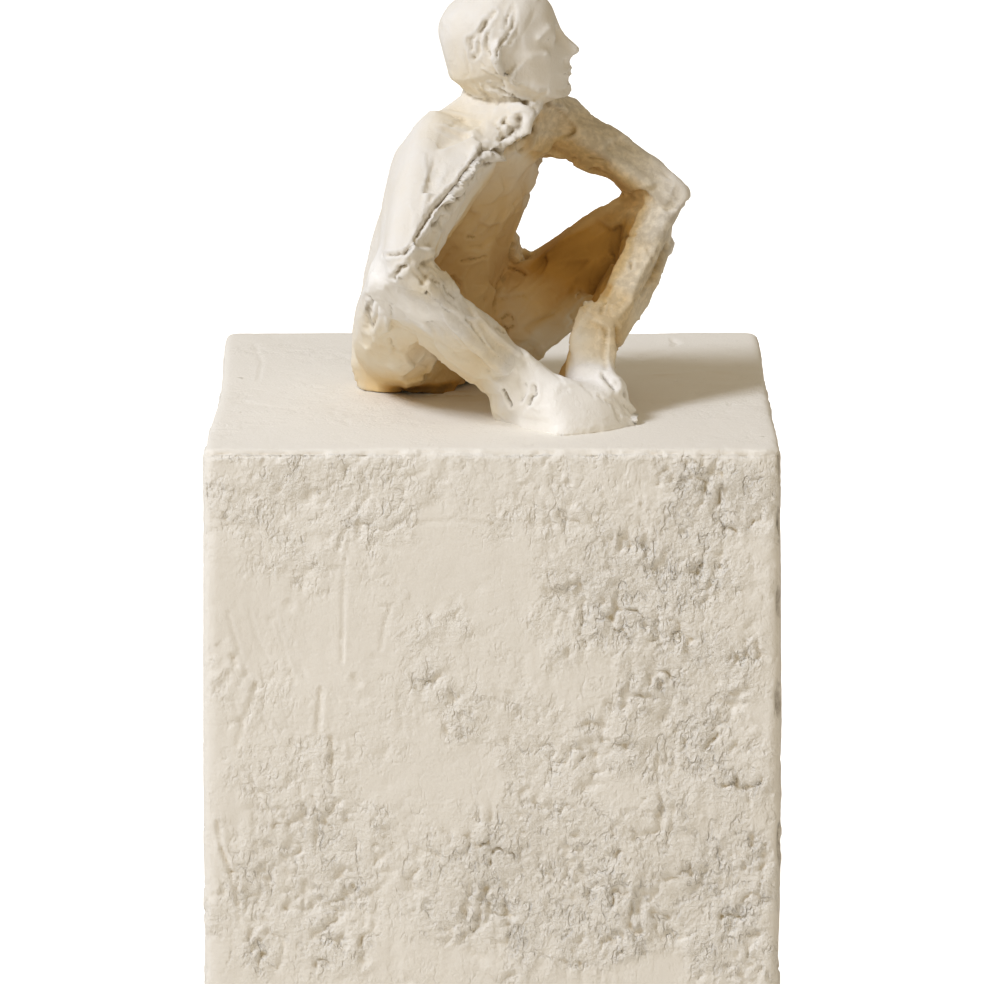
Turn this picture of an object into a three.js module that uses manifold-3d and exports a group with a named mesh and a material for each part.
// A small seated figure, hand-modelled and cast, pinned on top of a cast cube that serves as its plinth.
// The figure sits with its knees drawn up and apart, its arms draped over them and its hands on its feet.
// Millimetres, +Z up. The origin is on the surface that the plinth stands on, under the plinth's centre,
// and -Y is the plinth's front.
import * as THREE from "three";
import { mergeVertices } from "three/addons/utils/BufferGeometryUtils.js";
import Module from "manifold-3d";

const wasm = await Module();
wasm.setup();

// Plinth
const PLINTH_WIDTH = 100; // at the top edge
const PLINTH_DEPTH = 100;
const PLINTH_HEIGHT = 100;
const PLINTH_CORNER_RADIUS = 2.4;
const PLINTH_EDGE_RADIUS = 1.6;
const LEFT_SIDE_HOLLOW = 1; // how far the left side's top edge is worn in
const OTHER_SIDE_HOLLOW = 0.3;
const PLINTH_FLARE = 0.7; // how much further out each side is at the foot than at the top edge
const FACE_BOW = 0.3; // how far the left and right faces dip on their way up

// Broad hollows of the plinth's rough faces, where the plaster didn't fill the mould or was worn away. Each
// is given by its face (0 is the right one, then the back, the left and the front), its middle along and up
// the face, its half length and half height, all as shares of the face, and how deep it is, as a share of the
// deepest.
const HOLLOW_DEPTH = 1.3;
const FACE_HOLLOWS = [
  [3, 0.4, 0.89, 0.12, 0.1, 0.6],
  [3, 0.24, 0.74, 0.17, 0.12, 0.7],
  [3, 0.36, 0.52, 0.12, 0.16, 0.8],
  [3, 0.38, 0.18, 0.11, 0.14, 1],
  [3, 0.1, 0.22, 0.16, 0.12, 0.8],
  [3, 0.08, 0.44, 0.12, 0.1, 0.6],
  [3, -0.33, 0.22, 0.15, 0.14, 0.7],
  [3, -0.3, 0.9, 0.18, 0.09, 0.5],
  [3, -0.38, 0.66, 0.1, 0.12, 0.5],
  [2, -0.3, 0.8, 0.16, 0.12, 0.7],
  [2, 0.12, 0.62, 0.14, 0.14, 0.6],
  [2, 0.36, 0.3, 0.12, 0.16, 0.9],
  [2, -0.2, 0.3, 0.18, 0.14, 0.8],
  [1, 0.3, 0.76, 0.14, 0.14, 0.8],
  [1, -0.12, 0.84, 0.16, 0.1, 0.6],
  [1, -0.34, 0.5, 0.12, 0.16, 0.7],
  [1, 0.08, 0.42, 0.16, 0.12, 0.6],
  [1, 0.2, 0.16, 0.2, 0.1, 0.9],
  [0, -0.32, 0.82, 0.12, 0.12, 0.7],
  [0, 0.16, 0.72, 0.18, 0.12, 0.6],
  [0, -0.1, 0.46, 0.14, 0.12, 0.7],
  [0, 0.34, 0.4, 0.1, 0.16, 0.8],
  [0, -0.28, 0.2, 0.16, 0.12, 0.9],
];

// Felt pads under the plinth
const PAD_RADIUS = 5;
const PAD_THICKNESS = 1;
const PAD_INSET = 11; // from the plinth's side to a pad's centre

// Where the figure sits on the plinth, and which way it faces
const SEAT_X = -12;
const SEAT_Y = 5;
const FACING_DEGREES = -51.5; // 0 faces +X, -90 faces the plinth's front

// Trunk, from the seat to the root of the neck. Forward, left and up are the figure's own directions.
const TRUNK_HEIGHT = 54;
const TRUNK_LEAN = 20.5;
const HIP_HALF_WIDTH = 14.5;
const HIP_HALF_DEPTH = 11;
const WAIST_HALF_WIDTH = 14.6;
const WAIST_HALF_DEPTH = 11;
const CHEST_HALF_WIDTH = 14.8;
const CHEST_HALF_DEPTH = 9.2;
const BACK_ROUNDING = 3.2; // how far the middle of the back bends out behind a straight line
const GIRDLE_FORWARD = 18;
const GIRDLE_REACH = 0.6; // how much of the way out to the shoulders it goes, where the arms take over
const GIRDLE_DROP = 5; // how far the shoulder girdle's middle is below the root of the neck
const SEAT_LOBE_SPREAD = 6.6;
const SEAT_LOBE_RADIUS = 7.8;
const SEAT_LOBE_BACK = 1; // behind the middle of the seat

// Head and neck
const HEAD_LENGTH = 22.6; // brow to back of the skull
const HEAD_WIDTH = 16.5;
const HEAD_HEIGHT = 21.8; // chin to crown
const HEAD_RISE = 10.7; // neck root to the middle of the head
const HEAD_FORWARD = 2.6;
const HEAD_TURN_DEGREES = 50; // to the figure's left
const HEAD_TILT_DEGREES = 12; // chin up
const NECK_RADIUS = 6;

// The head's level sections from under the chin to the crown: height, half width, reach forward and reach
// back, as shares of the head's own height, width and length
const HEAD_SECTIONS = [
  [0.0, 0.2, 0.3, 0.02],
  [0.06, 0.3, 0.4, 0.2],
  [0.16, 0.37, 0.42, 0.36],
  [0.28, 0.42, 0.42, 0.47],
  [0.42, 0.465, 0.42, 0.49],
  [0.56, 0.49, 0.42, 0.5],
  [0.7, 0.5, 0.43, 0.5],
  [0.84, 0.42, 0.36, 0.44],
  [0.94, 0.27, 0.22, 0.3],
  [0.99, 0.11, 0.08, 0.14],
];
// Heights of the features are shares of the head's height, and what stands out of the face is in millimetres
const EYE_LINE = 0.5;
const NOSE_BASE = 0.28;
const MOUTH_LINE = 0.175;
const NOSE_PROJECTION = 2.3;
const BROW_PROJECTION = 0.7;
const SOCKET_DEPTH = 1.1;
const LID_PROJECTION = 0.6;
const LIP_PROJECTION = 0.8;
const CHIN_PROJECTION = 0.9;
const EYE_SPREAD = 0.2;
const EAR_RADIUS = 1.05;

// Legs
const HIP_SPREAD = 8;
const HIP_UP = 8;
const HIP_FORWARD = 2.5;
const KNEE_FORWARD = 29.5;
const LEFT_KNEE_OUT = 26.8;
const RIGHT_KNEE_OUT = 28.4;
const LEFT_KNEE_UP = 31.2;
const RIGHT_KNEE_UP = 28;
const THIGH_RADIUS = 8.2;
const KNEE_RADIUS = 5.9;
const CALF_RADIUS = 4.7;
const LEFT_SHIN_BOW = 2.6; // how far the middle of the shin bends outward
const RIGHT_SHIN_BOW = 0.6;
const LEFT_THIGH_SAG = 2.4; // how far the thigh's thickest part hangs under the line from hip to knee
const RIGHT_THIGH_SAG = 0.8;
const ANKLE_RADIUS = 3.2;
const ANKLE_OUT = 1; // outside the middle of its foot
const HEEL_FORWARD = 33;
const FOOT_LENGTH = 18;
const FOOT_HALF_WIDTH = 3.9;
const FOOT_HEIGHT = 6.5;
const FEET_SPREAD = 5.2; // the middle of each foot from the line between them
const FEET_SHIFT = 0.1; // that line, to the figure's left of its middle

// Arms
const LEFT_SHOULDER_SPREAD = 15.5;
const LEFT_SHOULDER_DROP = 6.5; // below the root of the neck
const RIGHT_SHOULDER_SPREAD = 12.4;
const RIGHT_SHOULDER_DROP = 5.6;
const SHOULDER_FORWARD = 20;
const SHOULDER_RADIUS = 5.6;
const UPPER_ARM_ARCH = 0.9; // how far its middle is over the line from shoulder to elbow
const LEFT_UPPER_ARM_RADIUS = 3.9;
const RIGHT_UPPER_ARM_RADIUS = 5;
const ELBOW_FORWARD = 5.2; // past the knee
const LEFT_ELBOW_OUT = 0.4;
const RIGHT_ELBOW_OUT = 3;
const LEFT_ELBOW_OVER = 4.4;
const RIGHT_ELBOW_OVER = 4;
const ELBOW_RADIUS = 4;
const FOREARM_RADIUS = 3.3;
const WRIST_RADIUS = 2.9;
const LEFT_WRIST_OUT = 0.6; // outside the middle of its foot
const RIGHT_WRIST_OUT = 3;
const WRIST_UP = 10.4;
const LEFT_FOREARM_SAG = 0.6;
const RIGHT_FOREARM_SAG = 1.9;
const HAND_LENGTH = 8.6;
const HAND_HALF_WIDTH = 3.5;
const HAND_HALF_DEPTH = 2.8;

// Steel pins that hold the castings together
const LIMB_PIN_RADIUS = 1;
const LIMB_PIN_LENGTH = 8;
const HIP_PIN_LENGTH = 12;
const FOOT_PIN_LENGTH = 10;
const NECK_PIN_UP = 3; // above the root of the neck
const SEAT_PIN_RADIUS = 2;
const SEAT_PIN_LENGTH = 24;
const PIN_CLEARANCE = 0.2;
const PIN_SIDES = 12;
const HIP_PIN_SHARE = 0.26; // how far along the thigh the pin's middle is, where the thigh leaves the trunk

// How closely the castings sit against each other
const SEAT_GAP = 0.3;

// Fineness of the modelled surface
const SECTION_SIDES = 14;
const STEPS_PER_SPAN = 3;
const DOME_RINGS = 3;
const HEAD_LEVELS = 28;
const HEAD_SIDES = 28;
const FACE_FINENESS = 0.45; // how much closer the points lie on the face than on the back of the head
const PAD_SIDES = 24;
const CORNER_STEPS = 3;
const SIDE_STEPS = 12;
const EDGE_STEPS = 3;
const PLINTH_LEVELS = 11;
const CORNER_SHRINK = 0.6; // how much of an edge's rounding also tightens the corner there

const PLINTH_TOP = PAD_THICKNESS + PLINTH_HEIGHT;
const RADIANS = Math.PI / 180;
const SIDEWAYS = new THREE.Vector3(0, 1, 0);
const UPWARDS = new THREE.Vector3(0, 0, 1);
const BELOW = 60; // deep enough to trim anything under the plinth's top

const castMaterial = new THREE.MeshStandardMaterial({ color: 0xe9e2d6, roughness: 0.85, metalness: 0 });
const plinthMaterial = new THREE.MeshStandardMaterial({ color: 0xd9d1c1, roughness: 0.95, metalness: 0 });
const steelMaterial = new THREE.MeshStandardMaterial({ color: 0xb9bbbd, roughness: 0.35, metalness: 1 });
const feltMaterial = new THREE.MeshStandardMaterial({ color: 0xd8cfbf, roughness: 1, metalness: 0 });

// A closed mesh's geometry as a solid for cutting and joining.
function solidFrom(geometry) {
  const bare = geometry.index ? geometry.toNonIndexed() : geometry.clone();
  bare.deleteAttribute("normal");
  bare.deleteAttribute("uv");
  const merged = mergeVertices(bare, 1e-4);
  return new wasm.Manifold(
    new wasm.Mesh({
      numProp: 3,
      vertProperties: merged.attributes.position.array,
      triVerts: new Uint32Array(merged.index.array),
    }),
  );
}

// The largest body of a solid, without the crumbs that a cut can leave.
function mainBody(solid) {
  return solid.decompose().reduce((best, body) => (body.volume() > best.volume() ? body : best));
}

function meshOf(name, solid, material) {
  const { vertProperties, triVerts } = mainBody(solid).getMesh();
  const geometry = new THREE.BufferGeometry();
  geometry.setAttribute("position", new THREE.BufferAttribute(new Float32Array(vertProperties), 3));
  geometry.setIndex(new THREE.BufferAttribute(new Uint32Array(triVerts), 1));
  geometry.computeVertexNormals();
  const mesh = new THREE.Mesh(geometry, material);
  mesh.name = name;
  return mesh;
}

// A closed skin over rings that all have the same number of points, with a pole at each end.
function skin(rings, firstPole, lastPole) {
  const sides = rings[0].length;
  const points = [firstPole, ...rings.flat(), lastPole];
  const faces = [];
  const at = (ring, side) => 1 + ring * sides + (side % sides);
  const last = points.length - 1;
  for (let side = 0; side < sides; side++) {
    faces.push(0, at(0, side + 1), at(0, side));
    faces.push(last, at(rings.length - 1, side), at(rings.length - 1, side + 1));
    for (let ring = 0; ring + 1 < rings.length; ring++) {
      faces.push(at(ring, side), at(ring, side + 1), at(ring + 1, side));
      faces.push(at(ring + 1, side), at(ring, side + 1), at(ring + 1, side + 1));
    }
  }
  const geometry = new THREE.BufferGeometry().setFromPoints(points);
  geometry.setIndex(faces);
  return geometry;
}

// A station is a place on a limb's middle line, with the half width and half depth of the limb there.
function station(forward, left, up, halfWidth, halfDepth = halfWidth) {
  return { at: new THREE.Vector3(forward, left, up), size: new THREE.Vector3(halfWidth, halfDepth, 0) };
}

// A limb swells and tapers through its stations and has a domed end. Its width lies along the wide direction.
function limb(stations, grow = 0, wide = SIDEWAYS) {
  const path = new THREE.CatmullRomCurve3(stations.map((s) => s.at), false, "centripetal");
  const sizes = new THREE.CatmullRomCurve3(stations.map((s) => s.size), false, "centripetal");
  const steps = (stations.length - 1) * STEPS_PER_SPAN;
  const ringAt = (t, slide, scale) => {
    const along = path.getTangent(t);
    const across = wide.clone().addScaledVector(along, -wide.dot(along)).normalize();
    const through = new THREE.Vector3().crossVectors(along, across);
    const size = sizes.getPoint(t);
    const centre = path.getPoint(t).addScaledVector(along, slide);
    return Array.from({ length: SECTION_SIDES }, (_, side) => {
      const angle = (2 * Math.PI * side) / SECTION_SIDES;
      return centre
        .clone()
        .addScaledVector(across, (size.x + grow) * scale * Math.cos(angle))
        .addScaledVector(through, (size.y + grow) * scale * Math.sin(angle));
    });
  };
  const domeOf = (t) => Math.min(sizes.getPoint(t).x, sizes.getPoint(t).y) + grow;
  const rings = [];
  for (let k = DOME_RINGS - 1; k > 0; k--) {
    const angle = (k / DOME_RINGS) * (Math.PI / 2);
    rings.push(ringAt(0, -domeOf(0) * Math.sin(angle), Math.cos(angle)));
  }
  for (let step = 0; step <= steps; step++) rings.push(ringAt(step / steps, 0, 1));
  for (let k = 1; k < DOME_RINGS; k++) {
    const angle = (k / DOME_RINGS) * (Math.PI / 2);
    rings.push(ringAt(1, domeOf(1) * Math.sin(angle), Math.cos(angle)));
  }
  const firstPole = path.getPoint(0).addScaledVector(path.getTangent(0), -domeOf(0));
  const lastPole = path.getPoint(1).addScaledVector(path.getTangent(1), domeOf(1));
  return solidFrom(skin(rings, firstPole, lastPole));
}

function joined(...solids) {
  return solids.reduce((whole, solid) => whole.add(solid));
}

// What a form keeps above the plinth's top, so that it sits flat.
function trimmedFlat(solid) {
  const slab = new THREE.BoxGeometry(4 * PLINTH_WIDTH, 4 * PLINTH_DEPTH, BELOW).translate(0, 0, -BELOW / 2);
  return solid.subtract(solidFrom(slab));
}

// Places that several forms share, in the figure's own frame.
function kneeOf(side) {
  return side > 0
    ? new THREE.Vector3(KNEE_FORWARD, LEFT_KNEE_OUT, LEFT_KNEE_UP)
    : new THREE.Vector3(KNEE_FORWARD, -RIGHT_KNEE_OUT, RIGHT_KNEE_UP);
}

function hipOf(side) {
  return new THREE.Vector3(HIP_FORWARD, side * HIP_SPREAD, HIP_UP);
}

function elbowOf(side) {
  return kneeOf(side).add(
    side > 0
      ? new THREE.Vector3(ELBOW_FORWARD, LEFT_ELBOW_OUT, LEFT_ELBOW_OVER)
      : new THREE.Vector3(ELBOW_FORWARD, -RIGHT_ELBOW_OUT, RIGHT_ELBOW_OVER),
  );
}

function shoulderOf(side) {
  return side > 0
    ? new THREE.Vector3(SHOULDER_FORWARD, LEFT_SHOULDER_SPREAD, TRUNK_HEIGHT - LEFT_SHOULDER_DROP)
    : new THREE.Vector3(SHOULDER_FORWARD, -RIGHT_SHOULDER_SPREAD, TRUNK_HEIGHT - RIGHT_SHOULDER_DROP);
}

function footLineOf(side) {
  return FEET_SHIFT + side * FEET_SPREAD;
}

// The trunk's middle line at a share of its height: it leans forward and its back is rounded.
function trunkStation(share, halfWidth, halfDepth) {
  const forward = TRUNK_LEAN * share ** 1.25 - BACK_ROUNDING * Math.sin(Math.PI * share);
  return station(forward, 0, TRUNK_HEIGHT * share, halfWidth, halfDepth);
}

function trunkForm(grow) {
  const ribHalfWidth = (WAIST_HALF_WIDTH + CHEST_HALF_WIDTH) / 2;
  const ribHalfDepth = (WAIST_HALF_DEPTH + CHEST_HALF_DEPTH) / 2;
  const body = limb(
    [
      trunkStation(0.06, HIP_HALF_WIDTH * 0.82, HIP_HALF_DEPTH * 0.84),
      trunkStation(0.2, HIP_HALF_WIDTH, HIP_HALF_DEPTH),
      trunkStation(0.4, WAIST_HALF_WIDTH, WAIST_HALF_DEPTH),
      trunkStation(0.58, ribHalfWidth, ribHalfDepth),
      trunkStation(0.76, CHEST_HALF_WIDTH, CHEST_HALF_DEPTH),
      trunkStation(0.88, CHEST_HALF_WIDTH * 0.88, CHEST_HALF_DEPTH * 0.82),
      trunkStation(0.95, NECK_RADIUS * 1.4, CHEST_HALF_DEPTH * 0.6),
    ],
    grow,
  );
  const nape = new THREE.Vector3(GIRDLE_FORWARD, 0, TRUNK_HEIGHT - GIRDLE_DROP);
  const girdleAt = (side, share) =>
    station(...nape.clone().lerp(shoulderOf(side), share).toArray(), SHOULDER_RADIUS * (0.94 - share * 0.1));
  const girdle = limb(
    [
      girdleAt(-1, GIRDLE_REACH),
      girdleAt(-1, GIRDLE_REACH / 3),
      girdleAt(1, GIRDLE_REACH / 3),
      girdleAt(1, GIRDLE_REACH),
    ],
    grow,
    UPWARDS,
  );
  const seat = (side) =>
    limb(
      [
        station(-SEAT_LOBE_BACK, side * SEAT_LOBE_SPREAD, SEAT_LOBE_RADIUS * 1.3, SEAT_LOBE_RADIUS),
        station(-SEAT_LOBE_BACK, side * SEAT_LOBE_SPREAD, SEAT_LOBE_RADIUS * 0.5, SEAT_LOBE_RADIUS),
      ],
      grow,
    );
  return trimmedFlat(joined(body, girdle, seat(1), seat(-1)));
}

function legForm(side, grow) {
  const knee = kneeOf(side);
  const line = footLineOf(side);
  const ankle = new THREE.Vector3(
    HEEL_FORWARD + FOOT_LENGTH * 0.11,
    line + side * ANKLE_OUT,
    FOOT_HEIGHT * 0.8,
  );
  const hip = hipOf(side);
  const bow = side > 0 ? LEFT_SHIN_BOW : RIGHT_SHIN_BOW;
  const sag = side > 0 ? LEFT_THIGH_SAG : RIGHT_THIGH_SAG;
  const thighAt = (share, drop) => hip.clone().lerp(knee, share).addScaledVector(UPWARDS, -drop).toArray();
  const shinAt = (share, out) =>
    knee.clone().lerp(ankle, share).addScaledVector(SIDEWAYS, side * out).toArray();
  const thigh = limb(
    [
      station(...thighAt(0, 0), THIGH_RADIUS * 0.98),
      station(...thighAt(0.3, sag), THIGH_RADIUS * 1.06),
      station(...thighAt(0.65, sag * 0.3), THIGH_RADIUS * 0.88),
      station(...knee.toArray(), KNEE_RADIUS),
    ],
    grow,
  );
  const shin = limb(
    [
      station(...knee.toArray(), KNEE_RADIUS * 0.98),
      station(...shinAt(0.3, bow), CALF_RADIUS * 1.06),
      station(...shinAt(0.6, bow * 0.7), CALF_RADIUS * 0.94),
      station(...ankle.toArray(), ANKLE_RADIUS),
    ],
    grow,
  );
  const footAt = (share, up, halfWidth, halfHeight) =>
    station(
      HEEL_FORWARD + FOOT_LENGTH * share,
      line,
      FOOT_HEIGHT * up,
      FOOT_HALF_WIDTH * halfWidth,
      FOOT_HEIGHT * halfHeight,
    );
  const foot = limb(
    [footAt(0, 0.4, 0.85, 0.5), footAt(0.4, 0.38, 1, 0.55), footAt(0.85, 0.15, 1.05, 0.36)],
    grow,
  );
  return trimmedFlat(joined(thigh, shin, foot));
}

function armForm(side, grow) {
  const shoulder = shoulderOf(side);
  const elbow = elbowOf(side);
  const line = footLineOf(side);
  const wristOut = side > 0 ? LEFT_WRIST_OUT : RIGHT_WRIST_OUT;
  const wrist = new THREE.Vector3(HEEL_FORWARD + FOOT_LENGTH * 0.32, line + side * wristOut, WRIST_UP);
  const upperRadius = side > 0 ? LEFT_UPPER_ARM_RADIUS : RIGHT_UPPER_ARM_RADIUS;
  const sag = side > 0 ? LEFT_FOREARM_SAG : RIGHT_FOREARM_SAG;
  const between = (start, end, share, lift) =>
    start.clone().lerp(end, share).addScaledVector(UPWARDS, lift).toArray();
  const upper = limb(
    [
      station(...shoulder.toArray(), SHOULDER_RADIUS),
      station(...between(shoulder, elbow, 0.35, UPPER_ARM_ARCH), upperRadius * 1.14),
      station(...between(shoulder, elbow, 0.7, UPPER_ARM_ARCH), upperRadius),
      station(...elbow.toArray(), ELBOW_RADIUS),
    ],
    grow,
  );
  const forearm = limb(
    [
      station(...elbow.toArray(), ELBOW_RADIUS * 0.96),
      station(...between(elbow, wrist, 0.35, -sag), FOREARM_RADIUS),
      station(...between(elbow, wrist, 0.7, -sag), FOREARM_RADIUS * 0.92),
      station(...wrist.toArray(), WRIST_RADIUS),
    ],
    grow,
  );
  const handAt = (share, inward, up, halfWidth, halfDepth) =>
    station(
      wrist.x + HAND_LENGTH * share,
      line + side * wristOut * (1 - inward),
      FOOT_HEIGHT * up,
      HAND_HALF_WIDTH * halfWidth,
      HAND_HALF_DEPTH * halfDepth,
    );
  const hand = limb(
    [
      station(...wrist.toArray(), WRIST_RADIUS),
      handAt(0.36, 0.4, 1.14, 1, 1.1),
      handAt(0.84, 0.8, 0.74, 0.95, 0.8),
    ],
    grow,
  );
  return trimmedFlat(joined(upper, forearm, hand));
}

function bump(value, middle, spread) {
  return Math.exp(-(((value - middle) / spread) ** 2));
}

// How far the features stand out of the face, at a share of the head's width and of its height.
function featureRelief(across, height) {
  const along = Math.min(Math.max((EYE_LINE + 0.03 - height) / (EYE_LINE + 0.03 - NOSE_BASE), 0), 1);
  const below = height < NOSE_BASE ? bump(height, NOSE_BASE, 0.022) : 1;
  const nose = NOSE_PROJECTION * along ** 0.8 * below * bump(across, 0, 0.06 + 0.05 * along);
  const brow = BROW_PROJECTION * bump(height, EYE_LINE + 0.075, 0.05) * bump(across, 0, 0.4);
  const sockets = SOCKET_DEPTH * bump(height, EYE_LINE, 0.055) * bump(Math.abs(across), EYE_SPREAD, 0.1);
  const eyeball = bump(height, EYE_LINE - 0.01, 0.028) * bump(Math.abs(across), EYE_SPREAD, 0.07);
  const lids = LID_PROJECTION * eyeball;
  const mouth = bump(height, MOUTH_LINE, 0.045) - 0.7 * bump(height, MOUTH_LINE, 0.014);
  const lips = LIP_PROJECTION * mouth * bump(across, 0, 0.16);
  const chin = CHIN_PROJECTION * bump(height, 0.05, 0.05) * bump(across, 0, 0.2);
  return nose + brow - sockets + lids + lips + chin;
}

// The head looks along +X about its own middle here, and is then tilted, turned and set on the neck.
function headForm() {
  const splineOf = (pick) => new THREE.SplineCurve(HEAD_SECTIONS.map(pick));
  const sizes = splineOf(([height, halfWidth]) => new THREE.Vector2(height, halfWidth));
  const reaches = splineOf(([, , front, back]) => new THREE.Vector2(front, back));
  const rings = [];
  for (let level = 0; level <= HEAD_LEVELS; level++) {
    const { x: height, y: halfWidth } = sizes.getPoint(level / HEAD_LEVELS);
    const { x: front, y: back } = reaches.getPoint(level / HEAD_LEVELS);
    const ring = [];
    for (let k = 0; k < HEAD_SIDES; k++) {
      const turn = (2 * Math.PI * k) / HEAD_SIDES;
      const angle = turn - FACE_FINENESS * Math.sin(turn);
      const across = halfWidth * Math.sin(angle);
      const facing = Math.max(Math.cos(angle), 0);
      const reach = Math.cos(angle) > 0 ? front : back;
      ring.push(
        new THREE.Vector3(
          HEAD_LENGTH * reach * Math.cos(angle) + featureRelief(across, height) * facing ** 0.5,
          HEAD_WIDTH * across,
          HEAD_HEIGHT * (height - 0.5),
        ),
      );
    }
    rings.push(ring);
  }
  const chin = new THREE.Vector3(HEAD_LENGTH * 0.12, 0, -HEAD_HEIGHT * 0.51);
  const crown = new THREE.Vector3(-HEAD_LENGTH * 0.02, 0, HEAD_HEIGHT * 0.5);
  const earAt = (side, x, y, z, size) =>
    station(HEAD_LENGTH * x, side * HEAD_WIDTH * y, HEAD_HEIGHT * z, EAR_RADIUS * size);
  const ear = (side) =>
    limb([
      earAt(side, -0.04, 0.5, 0.05, 1),
      earAt(side, -0.07, 0.51, -0.05, 1.1),
      earAt(side, -0.04, 0.48, -0.17, 0.8),
    ]);
  return joined(solidFrom(skin(rings, chin, crown)), ear(1), ear(-1));
}

function neckForm() {
  return limb([
    station(TRUNK_LEAN - NECK_RADIUS * 0.6, 0, TRUNK_HEIGHT - NECK_RADIUS, NECK_RADIUS * 1.1),
    station(TRUNK_LEAN - NECK_RADIUS * 0.2, 0, TRUNK_HEIGHT - NECK_RADIUS * 0.26, NECK_RADIUS * 1.08),
    station(TRUNK_LEAN + HEAD_FORWARD * 0.2, 0, TRUNK_HEIGHT + HEAD_RISE * 0.3, NECK_RADIUS),
    station(TRUNK_LEAN + HEAD_FORWARD * 0.4, 0, TRUNK_HEIGHT + HEAD_RISE * 0.7, NECK_RADIUS),
  ]);
}

function setOnNeck(head) {
  return head
    .rotate([0, -HEAD_TILT_DEGREES, 0])
    .rotate([0, 0, HEAD_TURN_DEGREES])
    .translate([TRUNK_LEAN + HEAD_FORWARD, 0, TRUNK_HEIGHT + HEAD_RISE]);
}

// A steel pin between two castings, and the blind hole that it sits in, which is wider by the clearance.
function pinAt(name, middle, direction, radius, length) {
  const turn = new THREE.Quaternion().setFromUnitVectors(SIDEWAYS, direction.clone().normalize());
  const rod = (wider) => {
    const size = [radius + wider, radius + wider, length + 2 * wider];
    const cylinder = new THREE.CylinderGeometry(...size, PIN_SIDES).applyQuaternion(turn);
    return solidFrom(cylinder.translate(...middle.toArray()));
  };
  return { name, body: rod(0), hole: rod(PIN_CLEARANCE) };
}

function neckPin() {
  const middle = new THREE.Vector3(TRUNK_LEAN, 0, TRUNK_HEIGHT + NECK_PIN_UP);
  const direction = new THREE.Vector3(HEAD_FORWARD, 0, HEAD_RISE);
  return pinAt("neck_pin", middle, direction, LIMB_PIN_RADIUS, LIMB_PIN_LENGTH);
}

function shoulderPin(name, side) {
  const shoulder = shoulderOf(side);
  const alongArm = elbowOf(side).sub(shoulder).normalize();
  const middle = new THREE.Vector3(shoulder.x, side * CHEST_HALF_WIDTH * 0.9, shoulder.z);
  return pinAt(name, middle, alongArm.addScaledVector(SIDEWAYS, side), LIMB_PIN_RADIUS, LIMB_PIN_LENGTH);
}

function hipPin(name, side) {
  const hip = hipOf(side);
  const knee = kneeOf(side);
  return pinAt(name, hip.clone().lerp(knee, HIP_PIN_SHARE), knee.sub(hip), LIMB_PIN_RADIUS, HIP_PIN_LENGTH);
}

function footPin(name, side) {
  const middle = new THREE.Vector3(HEEL_FORWARD + FOOT_LENGTH * 0.2, footLineOf(side), 0);
  return pinAt(name, middle, UPWARDS, LIMB_PIN_RADIUS, FOOT_PIN_LENGTH);
}

function seatPin() {
  return pinAt("seat_pin", new THREE.Vector3(), UPWARDS, SEAT_PIN_RADIUS, SEAT_PIN_LENGTH);
}

function hollowAt(face, alongShare, heightShare) {
  let depth = 0;
  for (const [side, along, up, halfLength, halfHeight, deep] of FACE_HOLLOWS) {
    const across = ((alongShare / 2 - along) / halfLength) ** 2 + ((heightShare - up) / halfHeight) ** 2;
    if (side === face && across < 1) depth += HOLLOW_DEPTH * deep * (1 - across);
  }
  return depth;
}

// How far a side of the plinth lies inside its plan: it has hollows, is worn in at the top and dips on its
// way up.
function plinthWear(quarter, alongShare, heightShare) {
  const middle = Math.cos((Math.PI / 2) * alongShare);
  const worn = quarter === 2 ? LEFT_SIDE_HOLLOW : OTHER_SIDE_HOLLOW;
  const bow = quarter % 2 === 0 ? FACE_BOW * Math.sin(Math.PI * heightShare) ** 2 : 0;
  return worn * heightShare ** 3 * middle ** 2 + bow * middle + hollowAt(quarter, alongShare, heightShare);
}

// The plinth's plan at a height: a square with round corners, taken a quarter turn at a time from +X.
function plinthRing(z, shrink) {
  const radius = PLINTH_CORNER_RADIUS - shrink * CORNER_SHRINK;
  const flare = PLINTH_FLARE * (1 - (z / PLINTH_HEIGHT) ** 3);
  const ring = [];
  for (let quarter = 0; quarter < 4; quarter++) {
    const out = (quarter % 2 === 0 ? PLINTH_WIDTH : PLINTH_DEPTH) / 2 + flare - shrink;
    const reach = (quarter % 2 === 0 ? PLINTH_DEPTH : PLINTH_WIDTH) / 2 + flare - shrink - radius;
    const turned = new THREE.Matrix4().makeRotationZ((Math.PI / 2) * quarter);
    for (let k = 0; k < SIDE_STEPS; k++) {
      const share = (2 * k) / SIDE_STEPS - 1;
      const wear = plinthWear(quarter, share, z / PLINTH_HEIGHT);
      ring.push(new THREE.Vector3(out - wear, reach * share, z).applyMatrix4(turned));
    }
    for (let k = 0; k < CORNER_STEPS; k++) {
      const angle = ((Math.PI / 2) * k) / CORNER_STEPS;
      const x = out - radius + radius * Math.cos(angle);
      ring.push(new THREE.Vector3(x, reach + radius * Math.sin(angle), z).applyMatrix4(turned));
    }
  }
  return ring;
}

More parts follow.
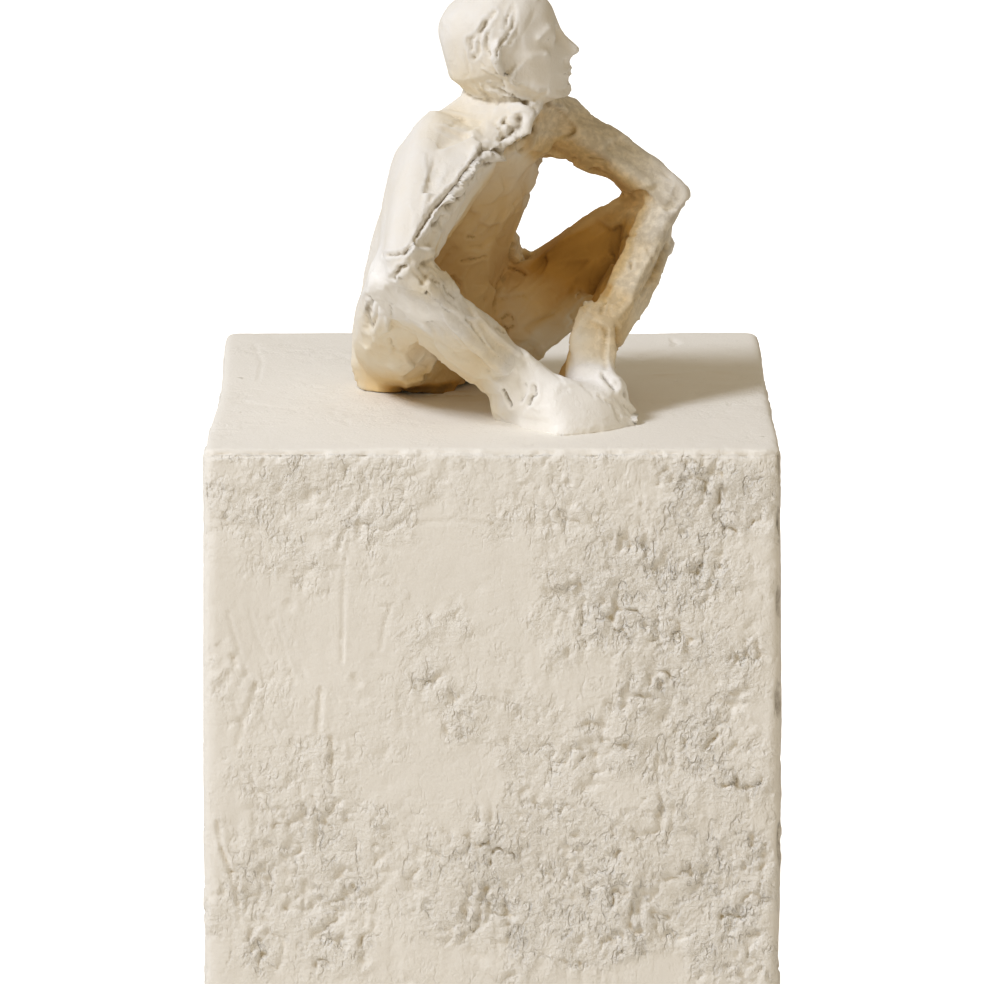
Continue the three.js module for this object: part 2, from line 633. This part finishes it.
function plinthForm() {
  const foot = PLINTH_EDGE_RADIUS * 0.6;
  const rings = [plinthRing(0, foot), plinthRing(foot, 0)];
  for (let level = 1; level < PLINTH_LEVELS; level++) {
    rings.push(plinthRing((PLINTH_HEIGHT * level) / PLINTH_LEVELS, 0));
  }
  for (let k = 0; k <= EDGE_STEPS; k++) {
    const angle = ((Math.PI / 2) * k) / EDGE_STEPS;
    const drop = PLINTH_EDGE_RADIUS * (1 - Math.sin(angle));
    rings.push(plinthRing(PLINTH_HEIGHT - drop, PLINTH_EDGE_RADIUS * (1 - Math.cos(angle))));
  }
  return solidFrom(skin(rings, new THREE.Vector3(0, 0, 0), new THREE.Vector3(0, 0, PLINTH_HEIGHT)));
}

function feltPad(name, sideX, sideY) {
  const disc = new THREE.CylinderGeometry(PAD_RADIUS, PAD_RADIUS, PAD_THICKNESS, PAD_SIDES);
  const mesh = new THREE.Mesh(disc.rotateX(Math.PI / 2), feltMaterial.clone());
  mesh.name = name;
  const x = sideX * (PLINTH_WIDTH / 2 - PAD_INSET);
  const y = sideY * (PLINTH_DEPTH / 2 - PAD_INSET);
  mesh.position.set(x, y, PAD_THICKNESS / 2);
  return mesh;
}

const pins = [
  seatPin(),
  neckPin(),
  shoulderPin("left_shoulder_pin", 1),
  shoulderPin("right_shoulder_pin", -1),
  hipPin("left_hip_pin", 1),
  hipPin("right_hip_pin", -1),
  footPin("left_foot_pin", 1),
  footPin("right_foot_pin", -1),
];
const holes = joined(...pins.map((pin) => pin.hole));

// Each casting leaves a thin joint line to the ones that it sits against.
const trunkRoom = trunkForm(SEAT_GAP);
const legRoom = joined(legForm(1, SEAT_GAP), legForm(-1, SEAT_GAP));
const castings = {
  torso: trunkForm(0),
  head: joined(setOnNeck(headForm()), neckForm()).subtract(trunkRoom),
  left_leg: legForm(1, 0).subtract(trunkRoom),
  right_leg: legForm(-1, 0).subtract(trunkRoom).subtract(legForm(1, SEAT_GAP)),
  left_arm: armForm(1, 0).subtract(trunkRoom).subtract(legRoom),
  right_arm: armForm(-1, 0).subtract(trunkRoom).subtract(legRoom).subtract(armForm(1, SEAT_GAP)),
};

const figure = new THREE.Group();
figure.position.set(SEAT_X, SEAT_Y, PLINTH_TOP);
figure.rotation.z = FACING_DEGREES * RADIANS;
for (const [name, casting] of Object.entries(castings)) {
  figure.add(meshOf(name, casting.subtract(holes), castMaterial.clone()));
}
for (const pin of pins) figure.add(meshOf(pin.name, pin.body, steelMaterial.clone()));

// The same holes, as they lie in the plinth's own frame.
const plinthHoles = holes.rotate([0, 0, FACING_DEGREES]).translate([SEAT_X, SEAT_Y, PLINTH_HEIGHT]);
const plinth = meshOf("plinth", plinthForm().subtract(plinthHoles), plinthMaterial);
plinth.position.z = PAD_THICKNESS;

const parts = new THREE.Group();
parts.add(figure, plinth);
parts.add(feltPad("felt_pad_front_left", -1, -1), feltPad("felt_pad_front_right", 1, -1));
parts.add(feltPad("felt_pad_back_left", -1, 1), feltPad("felt_pad_back_right", 1, 1));

export default parts;
